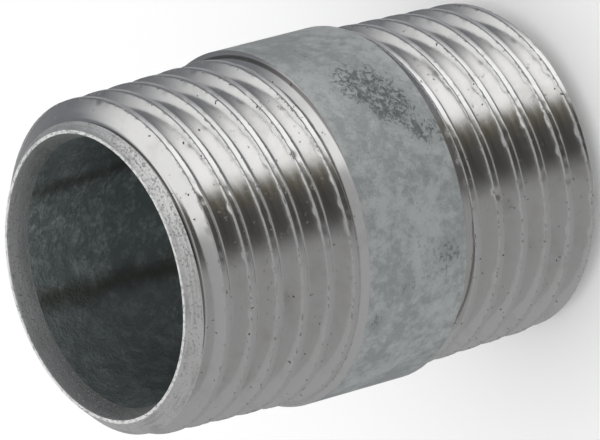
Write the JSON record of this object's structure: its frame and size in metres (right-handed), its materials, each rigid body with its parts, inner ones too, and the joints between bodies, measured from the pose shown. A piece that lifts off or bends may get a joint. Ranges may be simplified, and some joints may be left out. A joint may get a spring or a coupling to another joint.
{
  "type": "pipe nipple",
  "caption": "Short galvanised steel pipe nipple, taper threaded at both ends with a plain band between; joins two internally threaded pipe fittings close together.",
  "frame": {"origin": "centre of the lower end face, on the pipe's axis", "axes": "+Z along the pipe's axis, upwards from the end it stands on"},
  "size_m": [0.0212, 0.0212, 0.0303],
  "materials": {
    "galvanised_steel": "zinc coated band and bore, bright cut threads and end faces, slightly stained"
  },
  "bodies": {
    "root": {"pipe_nipple": "galvanised_steel"}
  },
  "joints": []
}
